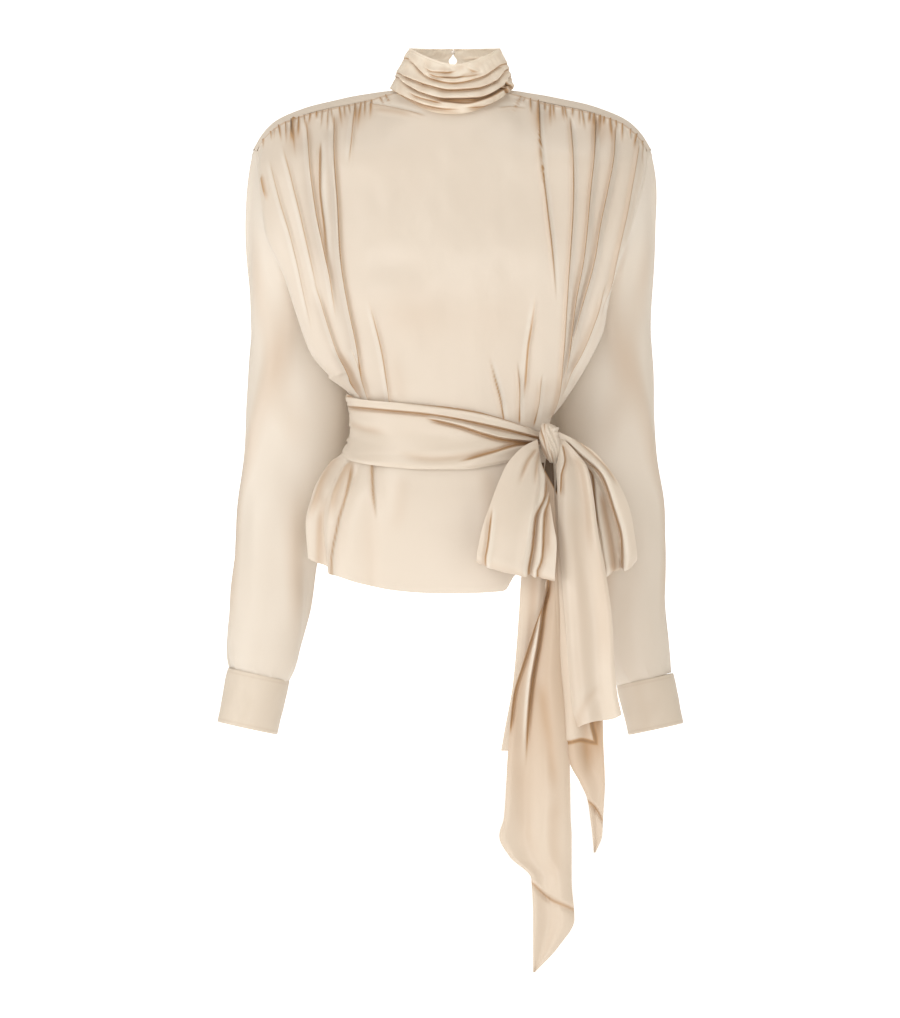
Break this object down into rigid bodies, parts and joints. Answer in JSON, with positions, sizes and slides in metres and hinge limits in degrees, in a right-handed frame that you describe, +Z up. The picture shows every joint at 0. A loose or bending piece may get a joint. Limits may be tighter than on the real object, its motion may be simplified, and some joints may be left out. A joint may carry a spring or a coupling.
{
  "type": "blouse",
  "caption": "Hollow long-sleeved satin blouse with a high draped collar, gathered padded shoulders, flared waist and a sash tied in a bow with long hanging ends.",
  "frame": {"origin": "between the shoulders at the base of the neck, where the wearer carries the blouse", "axes": "+Z up, -Y towards the front, +X towards the viewer's right when seen from the front"},
  "size_m": [0.4988, 0.2474, 0.9861],
  "materials": {
    "satin": "silk satin, soft lustre",
    "cuff_satin": "silk satin, two layers",
    "pearl": "pearly"
  },
  "bodies": {
    "root": {"front": "satin", "back": "satin", "yoke": "satin", "collar": "satin", "collar_button": "pearl", "sleeve_left": "satin", "sleeve_right": "satin", "cuff_left": "cuff_satin", "cuff_right": "cuff_satin", "peplum_front": "satin", "peplum_back": "satin", "sash": "satin", "knot": "satin", "bow_loop_left": "satin", "bow_loop_right": "satin", "tail_front": "satin", "tail_behind": "satin", "tail_long": "satin", "tail_strand": "satin"}
  },
  "joints": []
}
